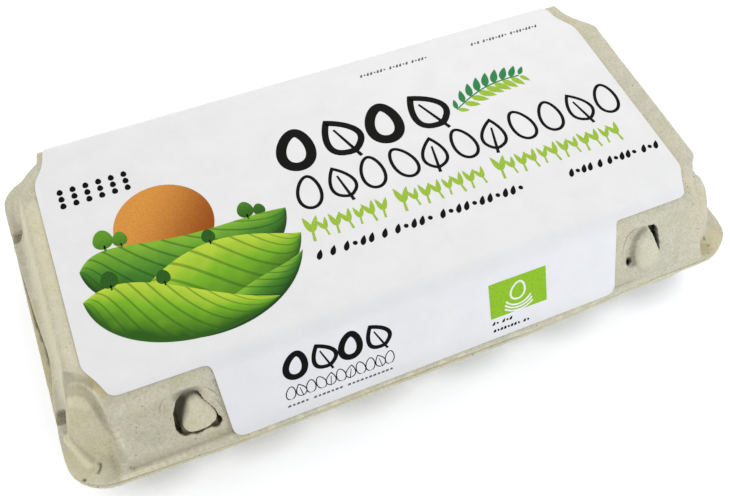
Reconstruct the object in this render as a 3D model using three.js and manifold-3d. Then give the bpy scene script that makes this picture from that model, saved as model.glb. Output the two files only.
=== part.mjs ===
// Shut moulded-pulp egg carton for eighteen eggs, three rows of six, with a paper label
// wrapped over its lid. Millimetres, +Z up. The carton stands on its cup feet at z = 0,
// its length runs along X and the latches face -Y.
import * as THREE from 'three';
import { mergeVertices } from 'three/addons/utils/BufferGeometryUtils.js';
import Module from 'manifold-3d';

const wasm = await Module();
wasm.setup();

// ---- driving dimensions -------------------------------------------------------------
const length = 305;               // over the rim, along X
const width = 164;                // over the rim, along Y
const height = 68;                // table to the top of the label
const gap = 0.3;                  // between pieces that touch
const paper = 0.35;               // label thickness

const rim = {
  partZ: 31.4,                    // top face of the tray's rim
  trayThick: 2.6,
  lidThick: 2.4,
  round: 0.7,                     // edge rounding of both rims
  cornerR: 18,
  sideSlack: 0.2,                 // the rim's widest place, short of the half width
};
const lidTop = height - paper - gap;
const lidBottom = rim.partZ + gap;
const rimTop = lidBottom + rim.lidThick;

const hinge = {                   // the fold along the back that joins tray and lid
  length: 236, deep: 2,
  lift: 0.8,                      // of its underside over the tray rim's
  round: 0.6, bulge: 1.2,
};

// lid walls: where each wall's plane meets the top plate, and how it leans
const wall = {
  endTopX: 139.8, endLean: THREE.MathUtils.degToRad(11.5), endRound: 5,
  sideTopY: 62.4, sideLean: THREE.MathUtils.degToRad(25.3), sideRound: 8,
  clipTopY: 42, clipFootY: 47,    // where the end wall stops and the corner turns in
  clipTopX: 128.4, clipFootX: 132.5,
  // the corner's curve: how far it keeps to the end wall's line, and how full it is
  clipEase: 0.6, clipHold: 0.15, clipFull: 1.5, clipReach: 0.4,
  flareOut: 3, flareTall: 7,      // fillet into the rim
};

const lobe = {                    // squarish bulge of the corner egg under each clipped corner
  x: 127.4, y: 51.4, z: 38.2,
  out: 19.2, across: 15.7, tall: 23.6,
  squareness: 3.04,
  turn: THREE.MathUtils.degToRad(45.1),   // its outward side, from +X towards +Y
  leanIn: THREE.MathUtils.degToRad(20.5),
};

const vent = { x: 148.5, y: 46.2, z: 33.8, rx: 6, ry: 3, rz: 2.6 };   // notch in the rim's edge

const latch = {
  // window: centre along the carton and down the wall from its top; knob: centre from that
  places: [
    {
      x: -99.2, down: 20.4, wide: 18.2, high: 22.4,
      knobX: 0.7, knobUp: -0.6, knobWide: 6.8, knobHigh: 8.6, proud: 0.4,
    },
    {
      x: 102, down: 20.8, wide: 18.4, high: 25.4,
      knobX: 1.2, knobUp: -0.3, knobWide: 6.4, knobHigh: 10.2, proud: 1.2,
    },
  ],
  ragged: 0.05, torn: 0.03,       // waves of the window's edge, as shares of its size
  wallThick: 2.2,                 // pulp left in front of the pocket
  pocketWide: 24, pocketDeep: 8,
  tongueWide: 15, tongueThick: 3.2,
  tongueTop: 11,                  // tongue end above the window's centre
  tongueLong: 60,                 // down to below the rim, where it is cut off
  knobTaper: 0.3,                 // narrower above, wider below
};

const cup = {
  columns: 6, rows: 3, pitchX: 49.4, pitchY: 50.2,
  segments: 20,
  // height, half-size, and squareness: 2 is a circle, more is a rounded square
  profile: [[0, 13, 2], [1.4, 15.6, 2], [6, 19.6, 2.1], [12, 22.8, 2.4], [19, 24.7, 2.8], [29.6, 25.4, 3.2]],
};

// The label's outline seen from above: corners counter-clockwise from the back right as
// x, y, the length rounded off before the corner and that after it. The long front flap
// reaches down over the wall's fillet between two notches.
const labelCorners = [
  [121.3, 78.2, 3, 5],
  [-121.3, 78.2, 5, 3],
  [-122.8, 62.4, 4, 4],
  [-124.8, 52.5, 4, 3],
  [-130.2, 43.4, 3, 5],
  [-130.6, -47, 3, 2],
  [-126.1, -54.9, 3, 3],
  [-123.4, -61.5, 2.6, 3.6],
  [-85.8, -61.8, 3.6, 3],
  [-85.1, -80.7, 3.2, 5.5],
  [88.9, -79.5, 5.5, 3],
  [89.7, -62.1, 2.4, 2.6],
  [124.2, -61.9, 3, 2],
  [126.1, -56.6, 3, 3],
  [130.8, -48, 2.5, 3],
  [130.5, 43.4, 5, 3],
  [124.8, 52.5, 3, 4],
  [122.8, 62.4, 4, 4],
];
const labelShiftX = -2.5;         // glued a little off the middle

// ---- solids ---------------------------------------------------------------------------
function solid(geometry) {
  const bare = geometry.clone();
  bare.deleteAttribute('normal');
  bare.deleteAttribute('uv');
  const merged = mergeVertices(bare, 1e-4);
  return new wasm.Manifold(new wasm.Mesh({
    numProp: 3,
    vertProperties: new Float32Array(merged.attributes.position.array),
    triVerts: new Uint32Array(merged.index.array),
  }));
}

function mesh(name, body, color, roughness) {
  const { vertProperties, triVerts } = body.getMesh();
  const geometry = new THREE.BufferGeometry();
  geometry.setAttribute('position', new THREE.BufferAttribute(new Float32Array(vertProperties), 3));
  geometry.setIndex(new THREE.BufferAttribute(new Uint32Array(triVerts), 1));
  geometry.computeVertexNormals();
  const piece = new THREE.Mesh(geometry, new THREE.MeshStandardMaterial({ color, roughness, metalness: 0 }));
  piece.name = name;
  return piece;
}

// A closed skin through level rings of equal point count, lowest first, each running
// counter-clockwise seen from above.
function loft(rings) {
  const count = rings[0].length;
  const points = rings.flat();
  const index = [];
  for (let r = 0; r + 1 < rings.length; r += 1) {
    for (let i = 0; i < count; i += 1) {
      const a = r * count + i;
      const b = r * count + ((i + 1) % count);
      index.push(a, b, b + count, a, b + count, a + count);
    }
  }
  const flat = (ring) => ring.map((p) => new THREE.Vector2(p.x, p.y));
  const last = (rings.length - 1) * count;
  for (const [a, b, c] of THREE.ShapeUtils.triangulateShape(flat(rings[0]), [])) index.push(c, b, a);
  for (const [a, b, c] of THREE.ShapeUtils.triangulateShape(flat(rings.at(-1)), [])) {
    index.push(last + a, last + b, last + c);
  }
  const geometry = new THREE.BufferGeometry().setFromPoints(points);
  geometry.setIndex(index);
  return geometry;
}

// Turns a quarter outline, from (x, 0) round to (0, y), into a whole ring at height z.
function mirrored(quarter, z) {
  const flip = (points, sx, sy) => points.map((p) => new THREE.Vector3(sx * p.x, sy * p.y, z));
  return [
    ...flip(quarter, 1, 1),
    ...flip(quarter.slice(0, -1).reverse(), -1, 1),
    ...flip(quarter.slice(1), -1, -1),
    ...flip(quarter.slice(1, -1).reverse(), 1, -1),
  ];
}

// ---- lid --------------------------------------------------------------------------------
// Distance of a leaning wall from the middle at height z, with its top edge rounded.
function wallReach(z, topReach, lean, round, top) {
  const tangent = round * Math.tan((Math.PI / 2 - lean) / 2);
  if (z <= top - tangent * Math.cos(lean)) return topReach + (top - z) * Math.tan(lean);
  const rise = z - (top - round);
  return topReach - tangent + Math.sqrt(Math.max(0, round * round - rise * rise));
}

// The wall's foot curves out into the rim: how far at height z, and how steeply there.
const flareLeft = (z) => THREE.MathUtils.clamp(1 - (z - rimTop) / wall.flareTall, 0, 1);
const flare = (z) => wall.flareOut * flareLeft(z) ** 3;
const flareSlope = (z) => (3 * wall.flareOut * flareLeft(z) ** 2) / wall.flareTall;

function wallRing(z) {
  const t = (z - lidBottom) / (lidTop - lidBottom);
  const endX = wallReach(z, wall.endTopX, wall.endLean, wall.endRound, lidTop) + flare(z);
  const sideY = wallReach(z, wall.sideTopY, wall.sideLean, wall.sideRound, lidTop) + flare(z);
  const flatEnd = wallReach(z, wall.endTopX, wall.endLean, 0, lidTop) + flare(z) - endX;
  const clipY = THREE.MathUtils.lerp(wall.clipFootY, wall.clipTopY, t);
  const clipX = THREE.MathUtils.lerp(wall.clipFootX, wall.clipTopX, t) - flatEnd;
  const deep = sideY - clipY;
  const corner = new THREE.CubicBezierCurve(
    new THREE.Vector2(endX, clipY),
    new THREE.Vector2(endX - wall.clipEase, clipY + wall.clipHold * deep),
    new THREE.Vector2(clipX + wall.clipFull, clipY + wall.clipReach * deep),
    new THREE.Vector2(clipX, sideY),
  ).getPoints(8);
  const along = new THREE.LineCurve(corner.at(-1), new THREE.Vector2(0, sideY)).getPoints(4);
  return mirrored([new THREE.Vector2(endX, 0), ...corner, ...along.slice(1)], z);
}

// Heights at which the lid's rings lie: fillet and middle of the wall, then the rounded edge.
const flareHeights = [0, 0.08, 0.18, 0.32, 0.52, 1].map((t) => rimTop + t * wall.flareTall);
const edgeSteps = 5;
const edgeAngles = Array.from({ length: edgeSteps + 1 },
  (_, i) => (1 - i / edgeSteps) * (Math.PI / 2 - wall.sideLean));
const edgeHeights = edgeAngles.map((angle) => lidTop - wall.sideRound * (1 - Math.cos(angle)));
const wallHeights = [lidBottom + 1, ...flareHeights, 50, ...edgeHeights];

// Rim outline: a rounded rectangle whose ends and sides are set in by a wave.
function rimPath(inset, endWave, sideWave, backInset = 0) {
  const quarterSteps = 7;
  const points = [];
  const halfX = length / 2;
  const halfY = width / 2;
  const r = rim.cornerR;
  const place = (x, y) => {
    const nearEnd = THREE.MathUtils.smoothstep(Math.abs(x), halfX - r, halfX);
    const nearSide = THREE.MathUtils.smoothstep(Math.abs(y), halfY - r, halfY);
    const inX = (inset + endWave(Math.sign(x), y)) * nearEnd;
    const inY = (inset + sideWave(x, Math.sign(y)) + (y > 0 ? backInset : 0)) * nearSide;
    points.push(new THREE.Vector2(x - Math.sign(x) * inX, y - Math.sign(y) * inY));
  };
  const straight = (x0, y0, x1, y1, steps) => {
    for (let i = 0; i < steps; i += 1) place(x0 + ((x1 - x0) * i) / steps, y0 + ((y1 - y0) * i) / steps);
  };
  const arc = (cx, cy, start) => {
    for (let i = 0; i < quarterSteps; i += 1) {
      const angle = start + (i / quarterSteps) * (Math.PI / 2);
      place(cx + r * Math.cos(angle), cy + r * Math.sin(angle));
    }
  };
  const endSteps = 14;
  const sideSteps = 12;
  straight(halfX, r - halfY, halfX, halfY - r, endSteps);
  arc(halfX - r, halfY - r, 0);
  straight(halfX - r, halfY, r - halfX, halfY, sideSteps);
  arc(r - halfX, halfY - r, Math.PI / 2);
  straight(-halfX, halfY - r, -halfX, r - halfY, endSteps);
  arc(r - halfX, r - halfY, Math.PI);
  straight(r - halfX, -halfY, halfX - r, -halfY, sideSteps);
  arc(halfX - r, r - halfY, 1.5 * Math.PI);
  return points;
}

// The lid's rim draws in along the ends, most a little in front of the middle.
const swell = (v, centre, spread) => Math.exp(-(((v - centre) / spread) ** 2));
const lidEndWave = (end, y) => 0.3 + 3.3 * swell(y, end < 0 ? -18 : 6, 18) + 1.3 * swell(y, 12, 18);

// Along the front both rims bow out, and stand back most at the right; the back is straight.
function traySideWave(x, side) {
  if (side > 0) return rim.sideSlack;
  const right = 2.8 * THREE.MathUtils.smoothstep(x, 40, 112);
  const left = 1.3 * THREE.MathUtils.smoothstep(-x, 90, 135);
  return rim.sideSlack + right + left;
}
const lidSideWave = (x, side) => traySideWave(x, side) + 0.3 + 0.2 * Math.cos(x / 23);

// A slab through [z, inset] levels of a rim's outline.
function rimSlab(levels, endWave, sideWave, backInset = 0) {
  return solid(loft(levels.map(([z, inset]) => rimPath(inset, endWave, sideWave, backInset)
    .map((p) => new THREE.Vector3(p.x, p.y, z)))));
}
const roundedEdge = (low, high) => [
  [low, rim.round], [low + rim.round, 0], [high - rim.round, 0], [high, rim.round],
];

function lobeSolid(sx, sy) {
  const ball = new THREE.SphereGeometry(1, 24, 16);
  ball.rotateX(Math.PI / 2);                       // poles up and down
  const place = ball.attributes.position;
  for (let i = 0; i < place.count; i += 1) {
    const p = new THREE.Vector3().fromBufferAttribute(place, i);
    const sum = p.toArray().reduce((total, v) => total + Math.abs(v) ** lobe.squareness, 0);
    p.divideScalar(sum ** (1 / lobe.squareness));
    place.setXYZ(i, p.x, p.y, p.z);
  }
  ball.scale(lobe.out, lobe.across, lobe.tall);
  ball.rotateY(-lobe.leanIn);
  ball.rotateZ(lobe.turn);
  ball.translate(lobe.x, lobe.y, lobe.z);
  return mirroredSolid(solid(ball), sx, sy);
}

// A mirrored copy whose faces still point out.
function mirroredSolid(body, sx, sy) {
  const { vertProperties, triVerts } = body.getMesh();
  const points = Float32Array.from(vertProperties, (v, i) => v * [sx, sy, 1][i % 3]);
  const faces = Uint32Array.from(triVerts);
  if (sx * sy < 0) {
    for (let i = 0; i < faces.length; i += 3) [faces[i], faces[i + 1]] = [faces[i + 1], faces[i]];
  }
  return new wasm.Manifold(new wasm.Mesh({ numProp: 3, vertProperties: points, triVerts: faces }));
}

function block(x0, x1, y0, y1, z0, z1) {
  const box = new THREE.BoxGeometry(x1 - x0, y1 - y0, z1 - z0);
  box.translate((x0 + x1) / 2, (y0 + y1) / 2, (z0 + z1) / 2);
  return solid(box);
}

// Places a shape drawn on the front wall: its x along the carton, its y up the wall and its
// z out of the wall, with the origin at the latch's centre.
function onFrontWall(geometry, { x, down }) {
  const lean = wall.sideLean;
  geometry.rotateX(Math.PI / 2 - lean);
  geometry.translate(x, -(wall.sideTopY + down * Math.sin(lean)), lidTop - down * Math.cos(lean));
  return geometry;
}

// Window hole: a rounded, slightly torn oval, cut from outside into the pocket.
function windowCut(place) {
  const steps = 22;
  const turn = Math.sign(place.x);
  const points = Array.from({ length: steps }, (_, i) => {
    const angle = (i / steps) * 2 * Math.PI;
    const edge = 1 + latch.ragged * Math.cos(3 * angle + turn) + latch.torn * Math.cos(7 * angle);
    return new THREE.Vector2(
      (place.wide / 2) * edge * Math.cos(angle),
      (place.high / 2) * edge * Math.sin(angle),
    );
  });
  const hole = new THREE.ExtrudeGeometry(new THREE.Shape(points), { depth: 20, bevelEnabled: false });
  hole.translate(0, 0, -latch.wallThick - 1);
  return solid(onFrontWall(hole, place));
}

// A bar behind the front wall, from below the rim's parting up past the latch's centre.
function tongueBar(place, wide, thick, top, depth) {
  const long = top + latch.tongueLong;
  const bar = new THREE.BoxGeometry(wide, long, thick);
  bar.translate(0, top - long / 2, -depth - thick / 2);
  return solid(onFrontWall(bar, place));
}

function makeLid() {
  const backInset = hinge.deep + gap;
  let lid = solid(loft(wallHeights.map(wallRing)));
  for (const sx of [-1, 1]) {
    for (const sy of [-1, 1]) lid = lid.add(lobeSolid(sx, sy));
  }
  const inset = rim.round + gap;                   // walls and lobes keep within the rim
  const within = [[lidBottom + gap, inset], [height, inset]];
  lid = lid.intersect(rimSlab(within, lidEndWave, lidSideWave, backInset));
  lid = lid.add(rimSlab(roundedEdge(lidBottom, rimTop), lidEndWave, lidSideWave, backInset));
  for (const sx of [-1, 1]) {
    for (const sy of [-1, 1]) {
      const hole = new THREE.SphereGeometry(1, 14, 10).scale(vent.rx, vent.ry, vent.rz);
      hole.translate(sx * vent.x, sy * vent.y, vent.z);
      lid = lid.subtract(solid(hole));
    }
  }
  for (const place of latch.places) {
    const pocketTop = latch.tongueTop + 1.5;
    lid = lid.subtract(tongueBar(place, latch.pocketWide, latch.pocketDeep, pocketTop, latch.wallThick));
    lid = lid.subtract(windowCut(place));
  }
  return lid;
}

// ---- tray -------------------------------------------------------------------------------
function cupRing(z, half, squareness) {
  return Array.from({ length: cup.segments }, (_, i) => {
    const angle = ((i + 0.5) / cup.segments) * 2 * Math.PI;
    const c = Math.cos(angle);
    const s = Math.sin(angle);
    const reach = half / (Math.abs(c) ** squareness + Math.abs(s) ** squareness) ** (1 / squareness);
    return new THREE.Vector3(reach * c, reach * s, z);
  });
}

function tongueSolid(place) {
  const slack = (latch.pocketDeep - latch.tongueThick) / 2;
  const behind = latch.wallThick + slack;
  let tongue = tongueBar(place, latch.tongueWide, latch.tongueThick, latch.tongueTop, behind);
  const knob = new THREE.SphereGeometry(1, 20, 14);
  const at = knob.attributes.position;
  for (let i = 0; i < at.count; i += 1) at.setX(i, at.getX(i) * (1 - latch.knobTaper * at.getY(i)));
  knob.scale(place.knobWide, place.knobHigh, behind);
  knob.translate(place.knobX, place.knobUp, place.proud - behind);
  tongue = tongue.add(solid(onFrontWall(knob, place)));
  return tongue.subtract(block(-length, length, -width, width, -height, rim.partZ - 1));
}

// The fold that joins tray and lid along the back: a strip with a rounded outer side.
function hingeSolid(low, high) {
  const inner = width / 2 - hinge.deep;
  const outer = width / 2 - rim.sideSlack - hinge.round;
  const foot = low + hinge.lift;
  const section = new THREE.Shape();
  section.moveTo(inner, foot);
  section.lineTo(outer, foot);
  section.quadraticCurveTo(outer + hinge.bulge, (foot + high) / 2, outer, high);
  section.lineTo(inner, high);
  const strip = new THREE.ExtrudeGeometry(section,
    { depth: hinge.length, bevelEnabled: false, curveSegments: 4 });
  strip.rotateX(Math.PI / 2);
  strip.rotateZ(Math.PI / 2);
  strip.translate(-hinge.length / 2, 0, 0);
  return solid(strip);
}

function makeTray() {
  const trayBottom = rim.partZ - rim.trayThick;
  let tray = rimSlab(roundedEdge(trayBottom, rim.partZ), () => 0, traySideWave);
  for (let row = 0; row < cup.rows; row += 1) {
    for (let column = 0; column < cup.columns; column += 1) {
      const one = loft(cup.profile.map(([z, half, squareness]) => cupRing(z, half, squareness)));
      one.translate(
        (column - (cup.columns - 1) / 2) * cup.pitchX,
        (row - (cup.rows - 1) / 2) * cup.pitchY,
        0,
      );
      tray = tray.add(solid(one));
    }
  }
  tray = tray.add(hingeSolid(trayBottom, rimTop));
  for (const place of latch.places) tray = tray.add(tongueSolid(place));
  return tray;
}

// ---- label ------------------------------------------------------------------------------
// Half of the lid's cross-section, from the wall's fillet over the rounded edge to the middle,
// set off from the lid's face by `off`.
function foldLine(off) {
  const { sideTopY: top, sideLean: lean, sideRound: r } = wall;
  const tangent = r * Math.tan((Math.PI / 2 - lean) / 2);
  const upWall = flareHeights.map((z) => {
    const slope = Math.tan(lean) + flareSlope(z);
    const share = off / Math.hypot(1, slope);
    return new THREE.Vector2(top + (lidTop - z) * Math.tan(lean) + flare(z) + share, z + share * slope);
  });
  const around = edgeAngles.map((angle) => new THREE.Vector2(
    top - tangent + (r + off) * Math.sin(angle),
    lidTop - r + (r + off) * Math.cos(angle),
  ));
  return [...upWall, ...around];
}

function makeLabel() {
  const inner = foldLine(gap);
  const outer = foldLine(gap + paper);
  const toFront = (line) => line.map((p) => new THREE.Vector2(-p.x, p.y));
  const section = new THREE.Shape([
    ...outer, ...toFront(outer).reverse(), ...toFront(inner), ...inner.reverse(),
  ]);
  const sheet = new THREE.ExtrudeGeometry(section, { depth: length, bevelEnabled: false });
  sheet.translate(0, 0, -length / 2);
  sheet.rotateX(Math.PI / 2);
  sheet.rotateZ(Math.PI / 2);
  return solid(sheet).intersect(labelCutter());
}

// A closed outline through corners [x, y, length cut before, length cut after], rounded off.
function roundedOutline(corners) {
  const outline = new THREE.Shape();
  corners.forEach(([x, y, before, after], i) => {
    const here = new THREE.Vector2(x, y);
    const towards = (corner, far) => new THREE.Vector2(corner[0], corner[1]).sub(here).setLength(far).add(here);
    const from = towards(corners.at(i - 1), before);
    const to = towards(corners[(i + 1) % corners.length], after);
    if (i === 0) outline.moveTo(from.x, from.y);
    else outline.lineTo(from.x, from.y);
    outline.quadraticCurveTo(x, y, to.x, to.y);
  });
  return outline;
}

// Cuts the folded sheet straight down along the label's outline.
function labelCutter() {
  const cutter = new THREE.ExtrudeGeometry(roundedOutline(labelCorners),
    { depth: 2 * height, bevelEnabled: false, curveSegments: 4 });
  cutter.translate(labelShiftX, 0, -height / 2);
  return solid(cutter);
}

// ---- the carton ---------------------------------------------------------------------------
const group = new THREE.Group();
group.add(mesh('tray', makeTray(), 0xc9c29c, 0.95));
group.add(mesh('lid', makeLid(), 0xcfcbb0, 0.95));
group.add(mesh('label', makeLabel(), 0xf2f2f0, 0.55));

export default group;
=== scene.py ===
import math
import random
from functools import partial

import bpy
from mathutils import Matrix, Vector


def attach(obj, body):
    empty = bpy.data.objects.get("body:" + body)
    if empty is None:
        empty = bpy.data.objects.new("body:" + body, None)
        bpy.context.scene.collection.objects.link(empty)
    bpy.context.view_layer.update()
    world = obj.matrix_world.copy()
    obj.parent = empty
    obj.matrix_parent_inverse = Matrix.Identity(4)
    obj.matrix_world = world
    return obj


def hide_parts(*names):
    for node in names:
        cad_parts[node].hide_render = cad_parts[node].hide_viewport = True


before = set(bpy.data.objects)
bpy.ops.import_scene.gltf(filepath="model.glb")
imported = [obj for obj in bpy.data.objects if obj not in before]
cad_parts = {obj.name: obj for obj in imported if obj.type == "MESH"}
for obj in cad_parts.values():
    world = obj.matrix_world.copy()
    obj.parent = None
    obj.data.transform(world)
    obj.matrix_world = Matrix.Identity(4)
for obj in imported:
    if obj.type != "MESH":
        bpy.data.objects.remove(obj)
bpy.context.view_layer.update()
scene = bpy.context.scene
print("frame loaded:", ", ".join(sorted(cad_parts)))

mm = 0.001


# small helpers

def pick(*pieces):
    # leaves edit mode, then selects only these, the first one active
    if bpy.context.object and bpy.context.object.mode != "OBJECT":
        bpy.ops.object.mode_set(mode="OBJECT")
    bpy.ops.object.select_all(action="DESELECT")
    for piece in pieces:
        piece.select_set(True)
    if pieces:
        bpy.context.view_layer.objects.active = pieces[0]


def addPrimitive(name, operator, **settings):
    pick()
    operator(**settings)
    piece = bpy.context.object
    piece.name = name
    bpy.ops.object.transform_apply(location=True, rotation=True, scale=True)
    return piece


def modify(piece, kind, **settings):
    pick(piece)
    modifier = piece.modifiers.new(kind.title(), kind)
    for key, value in settings.items():
        setattr(modifier, key, value)
    bpy.ops.object.modifier_apply(modifier=modifier.name)
    return piece


def editAll(piece):
    # into edit mode with everything selected
    pick(piece)
    bpy.ops.object.mode_set(mode="EDIT")
    bpy.ops.mesh.select_all(action="SELECT")


def deselectAll(piece, kind):
    # nothing selected in the mesh, its faces or its edges next to be picked
    pick(piece)
    bpy.ops.object.mode_set(mode="EDIT")
    bpy.ops.mesh.select_mode(type=kind)
    bpy.ops.mesh.select_all(action="DESELECT")
    bpy.ops.object.mode_set(mode="OBJECT")


def editFaces(piece, test):
    # into edit mode with just the faces that pass the test(centre, normal) selected
    deselectAll(piece, "FACE")
    for face in piece.data.polygons:
        face.select = test(face.center / mm, face.normal)
    bpy.ops.object.mode_set(mode="EDIT")


def editEdges(piece, test):
    # the same for edges, by test(one end, other end)
    deselectAll(piece, "EDGE")
    points = piece.data.vertices
    for edge in piece.data.edges:
        a, b = edge.vertices
        edge.select = test(points[a].co / mm, points[b].co / mm)
    bpy.ops.object.mode_set(mode="EDIT")


def extrudeBy(x, y, z):
    bpy.ops.mesh.extrude_region_move(TRANSFORM_OT_translate={"value": (x * mm, y * mm, z * mm)})


def closeShell(gap=0):
    # out of edit mode, with points closer than the gap merged and every face turned outwards
    bpy.ops.mesh.select_all(action="SELECT")
    if gap:
        bpy.ops.mesh.remove_doubles(threshold=gap * mm)
    bpy.ops.mesh.normals_make_consistent(inside=False)
    bpy.ops.object.mode_set(mode="OBJECT")


def oneFace(piece, side, low, high, middle, halfX, halfY):
    # a hidden flat stretch, facing up (side 1) or down (-1) between two heights, becomes a
    # single face, then a few triangles
    editFaces(piece, lambda at, normal: (side * normal.z > 0.9 and low < at.z < high
                                         and abs(at.x - middle) < halfX and abs(at.y) < halfY))
    bpy.ops.mesh.dissolve_faces()
    bpy.ops.mesh.quads_convert_to_tris()
    bpy.ops.object.mode_set(mode="OBJECT")


def copyOf(piece, name):
    other = piece.copy()
    other.data = piece.data.copy()
    other.name = name
    other.parent = None
    for key in list(other.keys()):
        if key.startswith("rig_"):
            del other[key]
    other.hide_render = other.hide_viewport = False
    scene.collection.objects.link(other)
    return other


def meshOfNode(node, name):
    # a CAD node's triangles are loose, so its copy is merged first
    piece = copyOf(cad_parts[node], name)
    piece.data.materials.clear()
    editAll(piece)
    bpy.ops.mesh.remove_doubles(threshold=0.002 * mm)
    bpy.ops.object.mode_set(mode="OBJECT")
    return piece


def flatShape(name, outline, z):
    # a filled circle whose points are moved onto the outline
    piece = addPrimitive(name, bpy.ops.mesh.primitive_circle_add, vertices=len(outline),
                         radius=mm, fill_type="NGON")
    for vertex, (x, y) in zip(piece.data.vertices, outline):
        vertex.co = Vector((x, y, z)) * mm
    return piece


def plate(name, outline, low, high):
    piece = flatShape(name, outline, low)
    editAll(piece)
    extrudeBy(0, 0, high - low)
    closeShell()
    return piece


def cut(piece, cutter, operation="DIFFERENCE", solver="EXACT"):
    modify(piece, "BOOLEAN", object=cutter, operation=operation, solver=solver)
    bpy.data.objects.remove(cutter)
    return piece


# the lid's long walls: where each meets the top plate, how it leans, and how far along the
# middle of the label lies
wallSet = {"cornerY": 62.4, "plateZ": 67.35, "lean": math.radians(25.3), "labelShift": -2.5}


def onWall(x=0, down=0, out=0):
    # a place on the front wall, down from its top corner: z points out of the wall
    sine, cosine = math.sin(wallSet["lean"]), math.cos(wallSet["lean"])
    y = -wallSet["cornerY"] - down * sine - out * cosine
    z = wallSet["plateZ"] - down * cosine + out * sine
    return Matrix.Translation(Vector((x, y, z)) * mm) @ Matrix.Rotation(math.pi / 2 - wallSet["lean"], 4, "X")


def wallSpot(x, down, out):
    # the same place as x, y and z in mm
    return tuple(onWall(x, down, out).translation / mm)


def arcLine(radius, angles):
    # points on a circle, by angle in degrees
    turns = [math.radians(a) for a in angles]
    return [(radius * math.cos(a), radius * math.sin(a)) for a in turns]


def ragged(outline, step, amount, seed):
    # a finer outline with torn, uneven edges
    draw, torn = random.Random(seed), []
    for i, start in enumerate(outline):
        a, b = Vector(start), Vector(outline[(i + 1) % len(outline)])
        count = max(1, round((b - a).length / step))
        for k in range(count):
            shake = Vector((draw.uniform(-amount, amount), draw.uniform(-amount, amount)))
            torn.append(tuple(a.lerp(b, k / count) + shake))
    return torn


def pillow(name, outline, low, high, steps):
    # a plate whose top rises in steps (rise, size), ever narrower, like a shallow cushion
    piece = plate(name, outline, low, high)
    middle = sum((Vector(p) for p in outline), Vector((0, 0))) / len(outline)
    top = high
    for rise, size in steps:
        editFaces(piece, lambda at, normal: normal.z > 0.9 and at.z > top - 0.01)
        extrudeBy(0, 0, rise)
        bpy.ops.transform.resize(value=(size, size, 1),
                                 center_override=(middle.x * mm, middle.y * mm, top * mm))
        bpy.ops.object.mode_set(mode="OBJECT")
        top += rise
    return piece


def bar(name, points, radius, endSize=0.4):
    # a round bar along the points, thinner at both ends
    pick()
    bpy.ops.curve.primitive_nurbs_path_add(radius=mm)
    piece = bpy.context.object
    piece.name = name
    line = piece.data.splines[0]
    line.points.add(len(points) - len(line.points))
    for i, place in enumerate(points):
        swell = math.sin(math.pi * i / (len(points) - 1))
        line.points[i].co = (*(Vector(place) * mm), 1)
        line.points[i].radius = endSize + (1 - endSize) * swell
    line.order_u = 3
    line.use_endpoint_u = True
    piece.data.bevel_depth = radius * mm
    piece.data.bevel_resolution = 1
    piece.data.resolution_u = 3
    piece.data.use_fill_caps = True
    bpy.ops.object.convert(target="MESH")
    editAll(piece)
    closeShell(0.001)
    return piece


def placed(piece, matrix):
    piece.data.transform(matrix)
    return piece


def upWall(points):
    # outlines on the wall are written as x and the way down
    return [(x, -down) for x, down in points]


def paintSpots(piece, name, spots):
    # a soft mask on the vertices; spots are place, reach and strength
    layer = piece.data.attributes.new(name, "FLOAT", "POINT")
    values = [0.0] * len(piece.data.vertices)
    points = [tuple(vertex.co / mm) for vertex in piece.data.vertices]
    for (px, py, pz), (rx, ry, rz), strength in spots:
        for i, (x, y, z) in enumerate(points):
            if abs(x - px) < rx and abs(y - py) < ry and abs(z - pz) < rz:
                far = ((x - px) / rx) ** 2 + ((y - py) / ry) ** 2 + ((z - pz) / rz) ** 2
                if far < 1:
                    values[i] = max(values[i], strength * min(1, 2 * (1 - far)))
    layer.data.foreach_set("value", values)


def spotsAlong(line, reach, strength):
    # spots of one size on each point of a line and halfway between them
    halves = [tuple((Vector(a) + Vector(b)) / 2) for a, b in zip(line, line[1:])]
    return [(place, (reach, reach, reach), strength) for place in list(line) + halves]


def joined(name, parts):
    pick(*parts)
    bpy.ops.object.join()
    parts[0].name = name
    return parts[0]


def roughen(piece, s):
    # the pulp's broad unevenness and its lumps; more of it goes inwards than outwards
    for key in ("uneven", "lump"):
        texture = bpy.data.textures.new(piece.name + key.title(), "CLOUDS")
        texture.noise_scale = s[key + "Size"] * mm
        texture.noise_depth = 2
        modify(piece, "DISPLACE", texture=texture, texture_coords="LOCAL", strength=s[key] * mm,
               mid_level=s["middle"])


def trianglesOf(piece):
    return sum(len(face.vertices) - 2 for face in piece.data.polygons)


def thinOut(piece, wanted, test):
    # fewer faces, and fewest where the places that pass the test are
    group = piece.vertex_groups.new(name="plain")
    group.add([v.index for v in piece.data.vertices if test(v.co)], 1.0, "REPLACE")
    modify(piece, "DECIMATE", ratio=min(1, wanted / trianglesOf(piece)), vertex_group=group.name)


def smoothShade(piece, angle):
    pick(piece)
    bpy.ops.object.shade_smooth_by_angle(angle=math.radians(angle))


def linear(hexColour):
    # sRGB hex to the linear numbers a shader takes
    parts = [int(hexColour[i:i + 2], 16) / 255 for i in (0, 2, 4)]
    return tuple(p / 12.92 if p <= 0.04045 else ((p + 0.055) / 1.055) ** 2.4 for p in parts) + (1.0,)


def addNode(material, kind, settings=None, links=None):
    # settings are properties or, by name or number, input values; links to inputs come from
    # an output, or from a node's main output
    node = material.node_tree.nodes.new("ShaderNode" + kind)
    for key, value in (settings or {}).items():
        if isinstance(key, str) and hasattr(node, key):
            setattr(node, key, value)
        else:
            node.inputs[key].default_value = value
    for key, source in (links or {}).items():
        if isinstance(source, bpy.types.Node):
            source = source.outputs[2 if source.type in ("MIX", "ATTRIBUTE") else 0]
        material.node_tree.links.new(source, node.inputs[key])
    return node


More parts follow.
